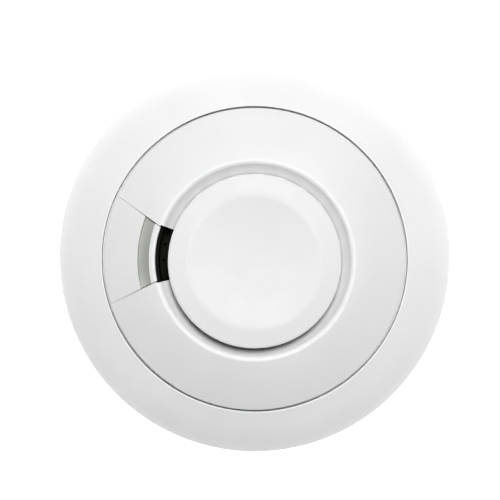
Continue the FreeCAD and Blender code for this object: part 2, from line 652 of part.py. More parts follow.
def button_layer(top_drop, bottom_drop, inner_radius, outer_radius, edge=0.0):
    """Ring between two depths below the front cover's slope."""
    corners = [(outer_radius, ring_height(outer_radius) - top_drop, edge),
               (inner_radius, ring_height(inner_radius) - top_drop, edge),
               (inner_radius, ring_height(inner_radius) - bottom_drop, 0),
               (outer_radius, ring_height(outer_radius) - bottom_drop, 0)]
    if inner_radius < RING_BEND_RADIUS < outer_radius:
        corners.insert(3, slope_corner(bottom_drop))
        corners.insert(1, slope_corner(top_drop))
    return lathe(corners)


def window_slot():
    """What is cut out of the button for the light window: right across it at the top."""
    slot = tube(WINDOW_OUTER_RADIUS, WINDOW_INNER_RADIUS, LEDGE_TOP, TOTAL_HEIGHT)
    between_sides = slot.common(button_wedge(BUTTON_SIDE, LEDGE_TOP, TOTAL_HEIGHT))
    below = button_layer(WINDOW_BOTTOM, 2 * BUTTON_DEPTH, CAP_RADIUS, RING_RADIUS + PAST)
    return fuse([between_sides, slot.cut(below)])


def hinge_knuckle(side):
    barrel = rod_along_y(KNUCKLE_RADIUS, KNUCKLE_NEAR_Y, KNUCKLE_FAR_Y, HINGE_X, HINGE_Z)
    web = box(HINGE_X - KNUCKLE_WEB, HINGE_X + KNUCKLE_WEB, KNUCKLE_NEAR_Y, KNUCKLE_FAR_Y,
              HINGE_Z, ring_height(-HINGE_X) - BUTTON_SKIN + 0.6)
    pin = rod_along_y(HINGE_PIN_RADIUS, KNUCKLE_FAR_Y - PAST, HINGE_PIN_END_Y, HINGE_X, HINGE_Z)
    return mirrored(fuse([barrel, web, pin]), side)


def test_button():
    whole = button_layer(0, BUTTON_DEPTH, BUTTON_INNER_RADIUS, RING_RADIUS, RING_EDGE)
    whole = whole.common(button_wedge(0, CHASSIS_FLOOR, TOTAL_HEIGHT))
    hollow = button_layer(BUTTON_SKIN, BUTTON_DEPTH + 2, BUTTON_INNER_RADIUS + BUTTON_INNER_WALL,
                          RING_RADIUS + PAST)
    hollow = hollow.common(button_wedge(BUTTON_SIDE, CHASSIS_FLOOR, TOTAL_HEIGHT))
    tail_room = button_layer(BUTTON_SKIN, BUTTON_DEPTH + 2, BUTTON_TAIL_RADIUS, RING_RADIUS + PAST)
    skin = cut(whole, [hollow, tail_room, window_slot()])
    stem = rod(STEM_RADIUS, PLUNGER_TOP + STEM_GAP, ring_height(-SWITCH_X) - BUTTON_SKIN + 0.5, SWITCH_X)
    return fuse([skin, stem, hinge_knuckle(1), hinge_knuckle(-1)])


def window_layer(top_drop, bottom_drop, margin, side_inset):
    """Arc under the light slot, between two depths below the front cover's slope."""
    layer = button_layer(top_drop, bottom_drop, BUTTON_INNER_RADIUS, RING_RADIUS)
    band = tube(WINDOW_OUTER_RADIUS + margin, WINDOW_INNER_RADIUS - margin, LEDGE_TOP, TOTAL_HEIGHT)
    return layer.common(band).common(button_wedge(side_inset, LEDGE_TOP, TOTAL_HEIGHT))


def light_pipe():
    """Window let into the button from below, with a bar and three legs that face the lamps."""
    flange = window_layer(BUTTON_SKIN, WINDOW_BOTTOM, WINDOW_LIP, BUTTON_SIDE)
    recess = window_layer(0, WINDOW_RECESS, 0, 0)
    strip = window_layer(WINDOW_RECESS, WINDOW_BOTTOM, 0, 0)
    bar = window_layer(WINDOW_RECESS, WINDOW_BOTTOM + WINDOW_BAR_DEPTH, -0.4, BUTTON_SIDE + 0.3)
    leg_top = ring_height(LED_RING_RADIUS) - WINDOW_BOTTOM - 0.5
    legs = []
    for angle in LED_ANGLES:
        x, y = polar(LED_RING_RADIUS, 180 - angle)
        legs.append(rod(LIGHT_LEG_RADIUS, BOARD_TOP + LIGHT_LEG_LIFT, leg_top, x, y))
    return fuse([flange.cut(recess), strip, bar] + legs)


def indicator_led(angle):
    x, y = polar(LED_RING_RADIUS, 180 - angle)
    barrel = rod(LED_RADIUS, BOARD_TOP, BOARD_TOP + LED_BARREL, x, y)
    dome = Part.makeSphere(LED_RADIUS, point(x, y, BOARD_TOP + LED_BARREL))
    return fuse([barrel, dome])


def switch_body():
    case = box_round(SWITCH_X, 0, SWITCH_HALF_SIDE, SWITCH_HALF_SIDE, BOARD_TOP, BOARD_TOP + SWITCH_HEIGHT)
    well = rod(SWITCH_WELL_RADIUS, SWITCH_WELL_BOTTOM, BOARD_TOP + SWITCH_HEIGHT + PAST, SWITCH_X)
    return case.cut(well)


def switch_plunger():
    return rod(PLUNGER_RADIUS, PLUNGER_BOTTOM, PLUNGER_TOP, SWITCH_X)


# Sounder

def sounder_horn():
    ledge = PIEZO_HEIGHT + 1.0
    can = rod(SOUNDER_RADIUS, SOUNDER_BOTTOM, BOARD_BOTTOM, SOUNDER_X)
    duct = sector(DUCT_INNER_RADIUS, DUCT_OUTER_RADIUS, OPENING_HALF_ANGLE + DUCT_OVERLAP_ANGLE,
                  DUCT_BOTTOM, DUCT_TOP)
    hollow = rod(SOUNDER_RADIUS - WALL / 2, ledge, BOARD_BOTTOM - 1.2, SOUNDER_X)
    seat = rod(PIEZO_RADIUS + 0.1, PIEZO_HEIGHT, ledge + 0.5, SOUNDER_X)
    back = rod(PIEZO_RADIUS - 0.8, SOUNDER_BOTTOM + 1.2, PIEZO_HEIGHT + 0.5, SOUNDER_X)
    throat = sector(DUCT_INNER_RADIUS + DUCT_WALL, DUCT_OUTER_RADIUS - DUCT_WALL, OPENING_HALF_ANGLE - 0.4,
                    DUCT_FLOOR, DUCT_TOP + PAST)
    ports = []
    for angle in PORT_ANGLES:
        x, y = polar((DUCT_INNER_RADIUS + DUCT_OUTER_RADIUS) / 2, 180 - angle)
        ports.append(rod(PORT_RADIUS, BOARD_BOTTOM - 2, DUCT_FLOOR + PAST, x, y))
    return cut(fuse([can, duct]), [hollow, seat, back, throat] + ports)


def piezo_disc():
    brass_top = PIEZO_HEIGHT + PIEZO_THICKNESS
    brass = rod(PIEZO_RADIUS, PIEZO_HEIGHT, brass_top, SOUNDER_X)
    ceramic = rod(CERAMIC_RADIUS, brass_top, brass_top + PIEZO_THICKNESS, SOUNDER_X)
    return brass.fuse(ceramic)


# Sensing chamber

def chamber_base():
    flange = rod(CHAMBER_RADIUS, BOARD_TOP, CHAMBER_FLOOR)
    holders = []
    bores = []
    for angle in OPTIC_ANGLES.values():
        holder = box(HOLDER_NEAR_X, HOLDER_FAR_X, -HOLDER_HALF_SIDE, HOLDER_HALF_SIDE,
                     CHAMBER_FLOOR - 0.5, OPTIC_AXIS + HOLDER_HALF_SIDE)
        holders.append(turned(holder, angle))
        bore = rod_along_x(OPTIC_BORE, HOLDER_NEAR_X - PAST, OPTIC_BACK_X + OPTIC_GAP, 0, OPTIC_AXIS)
        bores.append(turned(bore, angle))
    return cut(fuse([flange] + holders), bores)


def optic(name):
    """Lensed 5 mm package lying in its holder, facing the middle of the chamber."""
    radius = OPTIC_BORE - OPTIC_GAP
    barrel = rod_along_x(radius, OPTIC_LENS_X, OPTIC_BACK_X, 0, OPTIC_AXIS)
    lens = Part.makeSphere(radius, point(OPTIC_LENS_X, 0, OPTIC_AXIS))
    return turned(fuse([barrel, lens]), OPTIC_ANGLES[name])


def chamber_cover():
    lid = rod(CHAMBER_LID_RADIUS, CHAMBER_TOP - CHAMBER_LID, CHAMBER_TOP)
    vane = box_round(0, 0, VANE_LENGTH / 2, VANE_THICKNESS / 2, CHAMBER_FLOOR, CHAMBER_TOP - CHAMBER_LID)
    vane = turned(vane, VANE_TURN)
    vane.translate(point(VANE_RING, 0, 0))
    vanes = [turned(vane, index * 360 / VANE_COUNT) for index in range(VANE_COUNT)]
    return fuse([lid] + vanes)


def insect_screen():
    screen = tube(SCREEN_OUTER_RADIUS, SCREEN_INNER_RADIUS, CHAMBER_FLOOR, CAP_UNDERSIDE)
    window = box(SCREEN_INNER_RADIUS - PAST, SCREEN_OUTER_RADIUS + PAST, -SCREEN_WINDOW_WIDTH / 2,
                 SCREEN_WINDOW_WIDTH / 2, GROOVE_HEIGHT + 0.6, CAP_UNDERSIDE - 0.8)
    windows = [turned(window, index * 360 / SCREEN_WINDOW_COUNT) for index in range(SCREEN_WINDOW_COUNT)]
    return cut(screen, windows)


# Electronics

def circuit_board():
    board = rod(BOARD_RADIUS, BOARD_BOTTOM, BOARD_TOP)
    holes = [sector(DUCT_INNER_RADIUS - 0.6, DUCT_OUTER_RADIUS + 0.9, OPENING_HALF_ANGLE + DUCT_ROOM_ANGLE,
                    BOARD_BOTTOM - PAST, BOARD_TOP + PAST)]
    holes += [rod(BOARD_SCREW_RADIUS + BOARD_HOLE_GAP, BOARD_BOTTOM - PAST, BOARD_TOP + PAST, x, y)
              for x, y in BOARD_POSTS]
    return cut(board, holes)


def board_screws():
    screws = []
    for x, y in BOARD_POSTS:
        shank = rod(BOARD_SCREW_RADIUS, BOARD_SCREW_END, BOARD_TOP, x, y)
        head = rod(BOARD_SCREW_HEAD, BOARD_TOP, BOARD_TOP + BOARD_SCREW_HEAD_HEIGHT, x, y)
        screws.append(fuse([shank, head]))
    return Part.Compound(screws)


def microcontroller():
    middle_x, half, legs_a_side = 36.5, 4.5, 8
    package = box_round(middle_x, 0, half, half, BOARD_TOP + 0.2, BOARD_TOP + 1.6)
    legs = []
    for step in range(legs_a_side):
        y = step - (legs_a_side - 1) / 2
        for side in (-1, 1):
            legs.append(box_round(middle_x + side * (half + 0.25), y, 0.75, 0.2, BOARD_TOP, BOARD_TOP + 0.6))
    return fuse([package] + legs)


def rectifier_diodes():
    half_x, half_y, height = 1.5, 2.0, 1.8
    return Part.Compound([box_round(x, y, half_x, half_y, BOARD_TOP, BOARD_TOP + height)
                          for y in (-13.0, 13.0) for x in (31.5, 36.5)])


def mains_capacitor():
    bottom = 9.0
    body = box_round(0, 29.25, 9.0, 4.25, bottom, BOARD_BOTTOM)
    return body.makeFillet(0.8, [edge for edge in body.Edges if abs(edge.CenterOfMass.z - bottom) < 0.1])


def smoothing_capacitors():
    radius, bottom = 4.8, 10.6
    cans = []
    for x, y in ((5.0, 41.0), (17.0, 38.5)):
        can = rod(radius, bottom, BOARD_BOTTOM, x, y)
        cans.append(can.makeFillet(0.5, [edge for edge in can.Edges if edge.BoundBox.ZMax < bottom + 0.1]))
    return Part.Compound(cans)


def varistor():
    x, y, z, radius, half = -14.0, 38.7, 15.0, 4.6, 1.9
    disc = rod_along_y(radius, y - half, y + half, x, z)
    legs = [rod(0.4, z, BOARD_BOTTOM, x + side * 2.5, y) for side in (-1, 1)]
    return fuse([disc] + legs)


def power_resistors():
    radius, x_low, x_high, z = 1.8, 13.0, 23.0, 17.4
    resistors = []
    for y in (26.6, 31.6):
        body = rod_along_x(radius, x_low, x_high, y, z)
        legs = [rod(0.35, z, BOARD_BOTTOM, x, y) for x in (x_low + 0.5, x_high - 0.5)]
        resistors.append(fuse([body] + legs))
    return Part.Compound(resistors)


def backup_cell():
    x, y = CELL_PLACE
    can = rod(CELL_RADIUS, CELL_BOTTOM, CELL_TOP, x, y)
    return can.makeFillet(0.8, [edge for edge in can.Edges if edge.BoundBox.ZMax < CELL_BOTTOM + 0.1])


def cell_clips():
    x, y = CELL_PLACE
    side = x + CELL_RADIUS + 0.3
    y_low = y - CLIP_HALF_WIDTH
    y_high = y + CLIP_HALF_WIDTH
    lower_bottom = CELL_BOTTOM - CLIP_THICKNESS
    upper = box(x - 4.0, x + 4.0, y_low, y_high, CELL_TOP, BOARD_BOTTOM)
    lower = box(x - 2.0, side + CLIP_THICKNESS, y_low, y_high, lower_bottom, CELL_BOTTOM)
    riser = box(side, side + CLIP_THICKNESS, y_low, y_high, lower_bottom, BOARD_BOTTOM)
    return Part.Compound([upper, fuse([lower, riser])])


def plug_housing():
    body = box(PLUG_FRONT_X, PLUG_BACK_X, -BLOCK_HALF_WIDTH, BLOCK_HALF_WIDTH, PLUG_BOTTOM, BOARD_BOTTOM)
    seats = [rod_along_x(PIN_RADIUS + PIN_SEAT_GAP, PLUG_FRONT_X - PAST, PIN_ROOT_X, y, CONTACT_HEIGHT)
             for y in WAYS_Y]
    return cut(body, seats)


def contact_pins():
    pins = []
    for y in WAYS_Y:
        shaft = rod_along_x(PIN_RADIUS, PIN_TIP_X, PIN_ROOT_X, y, CONTACT_HEIGHT)
        tip = Part.makeSphere(PIN_RADIUS, point(PIN_TIP_X, y, CONTACT_HEIGHT))
        pins.append(fuse([shaft, tip]))
    return Part.Compound(pins)


NODES = {
    "mounting_base": mounting_base(),
    "terminal_block": terminal_block(),
    "terminal_contacts": terminal_contacts(),
    "terminal_screws": terminal_screws(),
    "terminal_cover": terminal_cover(),
    "latch_finger": latch_finger(),
    "outer_housing": outer_housing(),
    "rear_chassis": rear_chassis(),
    "shell_screws": shell_screws(),
    "front_cover": front_cover(),
    "centre_cap": centre_cap(),
    "insect_screen": insect_screen(),
    "chamber_cover": chamber_cover(),
    "chamber_base": chamber_base(),
    "infrared_led": optic("infrared_led"),
    "photodiode": optic("photodiode"),
    "circuit_board": circuit_board(),
    "board_screws": board_screws(),
    "microcontroller": microcontroller(),
    "rectifier_diodes": rectifier_diodes(),
    "mains_capacitor": mains_capacitor(),
    "smoothing_capacitors": smoothing_capacitors(),
    "varistor": varistor(),
    "power_resistors": power_resistors(),
    "backup_cell": backup_cell(),
    "cell_clips": cell_clips(),
    "plug_housing": plug_housing(),
    "contact_pins": contact_pins(),
    "sounder_horn": sounder_horn(),
    "piezo_disc": piezo_disc(),
    "red_led": indicator_led(LED_ANGLES[0]),
    "green_led": indicator_led(LED_ANGLES[1]),
    "yellow_led": indicator_led(LED_ANGLES[2]),
    "light_pipe": light_pipe(),
    "test_button": test_button(),
    "switch_body": switch_body(),
    "switch_plunger": switch_plunger(),
}

for name, shape in NODES.items():
    print(f"{name}: {len(shape.Solids)} solids, {shape.Volume:.1f} mm3, valid {shape.isValid()}")
    shape.exportStep(f"parts/{name}.step")
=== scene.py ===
import json
import math

import bmesh
import bpy
from mathutils import Matrix, Vector


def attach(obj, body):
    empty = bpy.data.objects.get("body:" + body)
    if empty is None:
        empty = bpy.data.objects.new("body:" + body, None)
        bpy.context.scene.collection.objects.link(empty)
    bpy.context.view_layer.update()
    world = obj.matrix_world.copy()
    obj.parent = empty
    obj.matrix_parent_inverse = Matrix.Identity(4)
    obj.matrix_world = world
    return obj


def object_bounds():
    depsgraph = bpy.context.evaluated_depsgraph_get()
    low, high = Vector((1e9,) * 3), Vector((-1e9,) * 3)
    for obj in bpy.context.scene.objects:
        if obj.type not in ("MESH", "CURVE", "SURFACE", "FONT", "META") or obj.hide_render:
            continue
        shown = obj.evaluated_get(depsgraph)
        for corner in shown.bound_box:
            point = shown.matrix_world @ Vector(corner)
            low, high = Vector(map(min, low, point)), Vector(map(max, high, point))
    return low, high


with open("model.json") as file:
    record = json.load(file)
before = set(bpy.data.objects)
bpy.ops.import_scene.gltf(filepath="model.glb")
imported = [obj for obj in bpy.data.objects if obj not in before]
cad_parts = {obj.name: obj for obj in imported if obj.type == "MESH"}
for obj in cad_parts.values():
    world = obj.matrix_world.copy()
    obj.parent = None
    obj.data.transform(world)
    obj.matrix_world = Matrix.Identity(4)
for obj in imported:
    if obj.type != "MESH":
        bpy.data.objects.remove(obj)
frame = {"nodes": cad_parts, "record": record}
cad_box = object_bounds()
nodes = frame["nodes"]

# The frame is in metres, and so are lengths inside the materials
MM = 0.001
WHITE = (1, 1, 1, 1)

# The camera looks almost straight down the alarm's axis. Its picture is turned a little about that
# axis, and it stands a little towards the picture's top side.
CAMERA_DISTANCE = 0.700
CAMERA_TILT = math.radians(2.35)
CAMERA_REACH = 50
PICTURE_TURN = math.radians(3.9)
FOCAL_LENGTH = 138.94
SENSOR_WIDTH = 36.0

# It aims a little left of and above the axis, near the height of the skirt's lower edge
AIM_HEIGHT = 4.5 * MM
AIM_LEFT = 1.7 * MM
AIM_UP = 2.4 * MM

# A softbox hangs almost overhead, towards the picture's top and a touch towards its right
KEY_TILT = math.radians(11.0)
KEY_SIDE = 0.03
KEY_DISTANCE = 2.0
KEY_SIZE = 0.4
KEY_POWER = 37.8

# The studio's walls look white but give little light
WALL_LIGHT = 0.04
WALL_BRIGHTNESS = 1.0

# A glowing table lights the alarm's sides
FLOOR_RADIUS = 2.5
FLOOR_SIDES = 64
FLOOR_GAP = 0.2 * MM
FLOOR_GREY = 0.25
FLOOR_ROUGHNESS = 0.9
FLOOR_GLOW = 1.6

# Below 1 the picture gains contrast
PICTURE_GAMMA = 0.70

# The housing is moulded a shade paler than the parts in front of it
HOUSING_COLOUR = (0.905, 0.91, 0.905)

# Painted shade in the groove, by distance from the alarm's axis: grey painted into the colour where the cap
# and the groove's walls shade it. It starts just outside the cap's edge, where a painted shadow line is
# darkest, and ends on the groove's outer wall.
GROOVE_SHADE_INSIDE = 30.2 * MM
GROOVE_SHADE_OUTSIDE = 33.2 * MM
GROOVE_SHADE_BLUR = 0.5 * MM
GROOVE_SHADE_GREY = 0.4
# The painted shadow line just outside the cap's edge, where the cap shades the groove
CAP_SHADOW_BLUR = 0.4 * MM
CAP_SHADOW_GREY = 0.3
PAINTED_SHADE_STRENGTH = 0.30

# Surface patterns: how they are drawn out along X, Y and Z, and the bands of the board's tracks
METAL_GRAIN = (0.2, 1, 1)
SWIRL_GRAIN = (1, 0.3, 1)
TRACK_SCALE = 60
TRACK_GAP = 0.06
GAP_SHADE = 0.45
BEVEL_SAMPLES = 4

# Insect gauze woven through the screen's windows
GAUZE_RADIUS = 26.5 * MM
GAUZE_BOTTOM = 36.8 * MM
GAUZE_TOP = 42.9 * MM
GAUZE_STRANDS = 180
GAUZE_ROWS = 8
WIRE_WIDTH = 0.4 * MM


# Camera

def picture_axes():
    """The picture's right and up directions, seen from above."""
    right = Vector((math.cos(PICTURE_TURN), math.sin(PICTURE_TURN), 0))
    up = Vector((-math.sin(PICTURE_TURN), math.cos(PICTURE_TURN), 0))
    return right, up


def look_from(obj, place, target, up):
    """Turns an object whose -Z is its line of sight from place towards target."""
    back = (place - target).normalized()
    right = up.cross(back).normalized()
    top = back.cross(right)
    turn = Matrix((right, top, back)).transposed().to_4x4()
    obj.matrix_world = Matrix.Translation(place) @ turn


def add_object(name, data):
    obj = bpy.data.objects.new(name, data)
    bpy.context.scene.collection.objects.link(obj)
    return obj


def add_camera():
    right, up = picture_axes()
    centre = Vector((0, 0, AIM_HEIGHT))
    target = centre - right * AIM_LEFT + up * AIM_UP
    tilted = up * math.sin(CAMERA_TILT) + Vector((0, 0, math.cos(CAMERA_TILT)))
    data = bpy.data.cameras.new("camera")
    data.lens = FOCAL_LENGTH
    data.sensor_width = SENSOR_WIDTH
    data.clip_end = CAMERA_REACH
    camera = add_object("camera", data)
    look_from(camera, centre + tilted * CAMERA_DISTANCE, target, up)
    bpy.context.scene.camera = camera


# Floor, walls and light

def add_floor():
    mesh = bpy.data.meshes.new("floor")
    bm = bmesh.new()
    bmesh.ops.create_circle(bm, cap_ends=True, segments=FLOOR_SIDES, radius=FLOOR_RADIUS)
    bm.to_mesh(mesh)
    bm.free()
    floor = add_object("floor", mesh)
    floor.location.z = cad_box[0].z - FLOOR_GAP
    material, _, shader = new_material("floor_paper")
    shader.inputs["Base Color"].default_value = (FLOOR_GREY, FLOOR_GREY, FLOOR_GREY, 1)
    shader.inputs["Roughness"].default_value = FLOOR_ROUGHNESS
    shader.inputs["Specular IOR Level"].default_value = 0.0
    shader.inputs["Emission Color"].default_value = WHITE
    shader.inputs["Emission Strength"].default_value = FLOOR_GLOW
    mesh.materials.append(material)


def add_walls():
    """The world: the camera sees it white, but little light comes off it."""
    world = bpy.data.worlds.new("studio")
    world.use_nodes = True
    tree = world.node_tree
    lit = tree.nodes["Background"]
    seen = tree.nodes.new("ShaderNodeBackground")
    for background, strength in ((lit, WALL_LIGHT), (seen, WALL_BRIGHTNESS)):
        background.inputs["Color"].default_value = WHITE
        background.inputs["Strength"].default_value = strength
    ray = tree.nodes.new("ShaderNodeLightPath")
    mix = tree.nodes.new("ShaderNodeMixShader")
    tree.links.new(ray.outputs["Is Camera Ray"], mix.inputs["Fac"])
    tree.links.new(lit.outputs["Background"], mix.inputs[1])
    tree.links.new(seen.outputs["Background"], mix.inputs[2])
    tree.links.new(mix.outputs["Shader"], tree.nodes["World Output"].inputs["Surface"])
    bpy.context.scene.world = world


def add_softbox():
    right, up = picture_axes()
    tilted = up * math.sin(KEY_TILT) + Vector((0, 0, math.cos(KEY_TILT)))
    place = (right * KEY_SIDE + tilted) * KEY_DISTANCE
    data = bpy.data.lights.new("key", "AREA")
    data.shape = "DISK"
    data.size = KEY_SIZE
    data.energy = KEY_POWER
    look_from(add_object("key", data), place, Vector((0, 0, 0)), Vector((0, 1, 0)))


def set_contrast():
    view = bpy.context.scene.view_settings
    view.view_transform = "Standard"
    view.gamma = PICTURE_GAMMA


# Building blocks of the materials. A colour is three numbers, or another node's output.

def new_material(name):
    material = bpy.data.materials.new(name)
    material.use_nodes = True
    tree = material.node_tree
    return material, tree, tree.nodes["Principled BSDF"]


def surface_place(tree):
    return tree.nodes.new("ShaderNodeTexCoord").outputs["Object"]


def noise(tree, size, detail=2.0, stretch=(1, 1, 1)):
    """Noise with lumps of about the given size, drawn out along an axis where stretch is below 1."""
    mapping = tree.nodes.new("ShaderNodeMapping")
    mapping.inputs["Scale"].default_value = stretch
    tree.links.new(surface_place(tree), mapping.inputs["Vector"])
    texture = tree.nodes.new("ShaderNodeTexNoise")
    texture.inputs["Scale"].default_value = 1 / size
    texture.inputs["Detail"].default_value = detail
    tree.links.new(mapping.outputs["Vector"], texture.inputs["Vector"])
    return texture.outputs["Fac"]


def remap(tree, value, low, high, start=0.3, end=0.7):
    """Low where the value is at or below start, high where it is at or above end."""
    scale = tree.nodes.new("ShaderNodeMapRange")
    scale.inputs["From Min"].default_value = start
    scale.inputs["From Max"].default_value = end
    scale.inputs["To Min"].default_value = low
    scale.inputs["To Max"].default_value = high
    tree.links.new(value, scale.inputs["Value"])
    return scale.outputs["Result"]


def mix_colours(tree, factor, first, second):
    mix = tree.nodes.new("ShaderNodeMix")
    mix.data_type = "RGBA"
    tree.links.new(factor, mix.inputs["Factor"])
    for colour, socket in ((first, mix.inputs["A"]), (second, mix.inputs["B"])):
        if isinstance(colour, (list, tuple)):
            socket.default_value = (*colour, 1)
        else:
            tree.links.new(colour, socket)
    return mix.outputs["Result"]


def shade(colour, factor):
    return [min(channel * factor, 1) for channel in colour]


def cloudy(tree, pattern, colour, dark, pale):
    """The colour, drifting with the pattern between two shades of itself."""
    return mix_colours(tree, pattern, shade(colour, dark), shade(colour, pale))


def vector_maths(tree, operation, *values):
    """A vector node's outputs. Each value is three numbers or another node's output."""
    node = tree.nodes.new("ShaderNodeVectorMath")
    node.operation = operation
    for value, socket in zip(values, node.inputs):
        if isinstance(value, tuple):
            socket.default_value = value
        else:
            tree.links.new(value, socket)
    return node.outputs


def edge_mask(tree, width, strength):
    """Zero on open faces, rising to strength on edges: edges that hands and tools rub, and on the light
    guide, edges that carry painted shade.
    """
    rounded = tree.nodes.new("ShaderNodeBevel")
    rounded.samples = BEVEL_SAMPLES
    rounded.inputs["Radius"].default_value = width
    flat = tree.nodes.new("ShaderNodeNewGeometry")
    agreement = vector_maths(tree, "DOT_PRODUCT", rounded.outputs["Normal"], flat.outputs["Normal"])
    return remap(tree, agreement["Value"], strength, 0, start=0.75, end=0.99)


def shade_edges(tree, tint, colour, width, strength, factor):
    """The tint, passing towards another shade of the colour on edges."""
    return mix_colours(tree, edge_mask(tree, width, strength), tint, shade(colour, factor))


def ring_mask(tree, inside, outside, blur):
    """One between two distances from the alarm's axis, fading to zero over blur on either side."""
    flat = vector_maths(tree, "MULTIPLY", surface_place(tree), (1, 1, 0))
    radius = vector_maths(tree, "LENGTH", flat["Vector"])["Value"]
    both = tree.nodes.new("ShaderNodeMath")
    both.operation = "MULTIPLY"
    tree.links.new(remap(tree, radius, 0, 1, inside - blur, inside), both.inputs[0])
    tree.links.new(remap(tree, radius, 1, 0, outside, outside + blur), both.inputs[1])
    return both.outputs["Value"]


def paint_groove_shade(tree, surface_tint, colour):
    """Painted shade in the groove, and a painted shadow line just outside the cap's edge, over a surface of
    the given colour.
    """
    groove_shade = ring_mask(tree, GROOVE_SHADE_INSIDE, GROOVE_SHADE_OUTSIDE, GROOVE_SHADE_BLUR)
    cap_shadow = ring_mask(tree, GROOVE_SHADE_INSIDE, GROOVE_SHADE_INSIDE, CAP_SHADOW_BLUR)
    # Each mask darkens the colour with painted shade: the groove first, then the shadow line by the cap
    for mask, grey in ((groove_shade, GROOVE_SHADE_GREY), (cap_shadow, CAP_SHADOW_GREY)):
        amount = remap(tree, mask, 0, PAINTED_SHADE_STRENGTH, start=0, end=1)
        surface_tint = mix_colours(tree, amount, surface_tint, shade(colour, grey))
    return surface_tint


def set_colour(tree, shader, colour, mixed):
    shader.inputs["Base Color"].default_value = (*colour, 1)
    tree.links.new(mixed, shader.inputs["Base Color"])


def set_roughness(tree, shader, pattern, low, high, **span):
    """Roughness that follows a pattern. Span may give the pattern's start and end."""
    tree.links.new(remap(tree, pattern, low, high, **span), shader.inputs["Roughness"])


def add_bump(tree, shader, height, depth, strength):
    bump = tree.nodes.new("ShaderNodeBump")
    bump.inputs["Strength"].default_value = strength
    bump.inputs["Distance"].default_value = depth
    tree.links.new(height, bump.inputs["Height"])
    tree.links.new(bump.outputs["Normal"], shader.inputs["Normal"])


# Finishes

def satin_moulding(name, colour, roughness=0.55, grain=0.5, groove_shaded=False):
    """Spark-eroded ABS: cloudy tint, fine even grain, edges rubbed a touch paler."""
    material, tree, shader = new_material(name)
    shader.inputs["Specular IOR Level"].default_value = 0.3
    clouds = remap(tree, noise(tree, size=30 * MM), low=0, high=1)
    tint = cloudy(tree, clouds, colour, dark=0.98, pale=1.01)
    mixed = shade_edges(tree, tint, colour, width=0.4 * MM, strength=0.35, factor=1.08)
    # Painted shade in the groove and a painted shadow beside the cap's edge, on the head's moulding only
    if groove_shaded:
        mixed = paint_groove_shade(tree, mixed, colour)
    set_colour(tree, shader, colour, mixed)
    patches = noise(tree, size=6 * MM)
    set_roughness(tree, shader, patches, low=roughness - 0.05, high=roughness + 0.05)
    add_bump(tree, shader, noise(tree, size=0.35 * MM, detail=3), depth=0.012 * MM, strength=grain)
    return material


def dark_moulding(name, colour):
    """Carbon-black ABS with a fine grain, dusted a little paler along its edges."""
    material, tree, shader = new_material(name)
    shader.inputs["Specular IOR Level"].default_value = 0.12
    tint = cloudy(tree, noise(tree, size=8 * MM), colour, dark=2.4, pale=3.2)
    dusty = shade_edges(tree, tint, colour, width=0.3 * MM, strength=0.3, factor=4.0)
    set_colour(tree, shader, colour, dusty)
    set_roughness(tree, shader, noise(tree, size=2 * MM), low=0.6, high=0.75)
    add_bump(tree, shader, noise(tree, size=0.3 * MM, detail=3), depth=0.01 * MM, strength=0.4)
    return material


def light_guide(name, colour):
    """Smoked translucent plastic: a faint swirl under a soft gloss, with painted shade darker along its
    edges where the recess's walls shade it.
    """
    material, tree, shader = new_material(name)
    shader.inputs["Coat Weight"].default_value = 0.15
    shader.inputs["Coat Roughness"].default_value = 0.15
    swirl = noise(tree, size=4 * MM, detail=3, stretch=SWIRL_GRAIN)
    tint = cloudy(tree, remap(tree, swirl, low=0, high=1), colour, dark=1.26, pale=1.4)
    # Painted shade on the edges: they keep the plain colour, darker than the lifted tint
    edge_shaded = shade_edges(tree, tint, colour, width=0.5 * MM, strength=0.6, factor=1.0)
    set_colour(tree, shader, colour, edge_shaded)
    set_roughness(tree, shader, swirl, low=0.3, high=0.42)
    add_bump(tree, shader, noise(tree, size=1.2 * MM), depth=0.02 * MM, strength=0.3)
    return material


def clear_epoxy(name, colour):
    """Cast lens or lamp package: glossy, faintly cloudy, with a scuffed rim."""
    material, tree, shader = new_material(name)
    shader.inputs["Transmission Weight"].default_value = 0.35
    tint = cloudy(tree, noise(tree, size=2 * MM), colour, dark=0.85, pale=1.1)
    scuffed = shade_edges(tree, tint, colour, width=0.2 * MM, strength=0.4, factor=1.3)
    set_colour(tree, shader, colour, scuffed)
    set_roughness(tree, shader, noise(tree, size=1 * MM), low=0.12, high=0.22)
    add_bump(tree, shader, noise(tree, size=0.8 * MM), depth=0.01 * MM, strength=0.2)
    return material


def lacquered(name, colour):
    """Dipped or sleeved component: glossy skin over a slightly lumpy body, thin on its edges."""
    material, tree, shader = new_material(name)
    shader.inputs["Coat Weight"].default_value = 0.4
    tint = cloudy(tree, noise(tree, size=3 * MM, detail=3), colour, dark=0.8, pale=1.15)
    thinned = shade_edges(tree, tint, colour, width=0.3 * MM, strength=0.5, factor=1.4)
    set_colour(tree, shader, colour, thinned)
    set_roughness(tree, shader, noise(tree, size=2 * MM), low=0.25, high=0.4)
    add_bump(tree, shader, noise(tree, size=1.5 * MM), depth=0.04 * MM, strength=0.4)
    return material


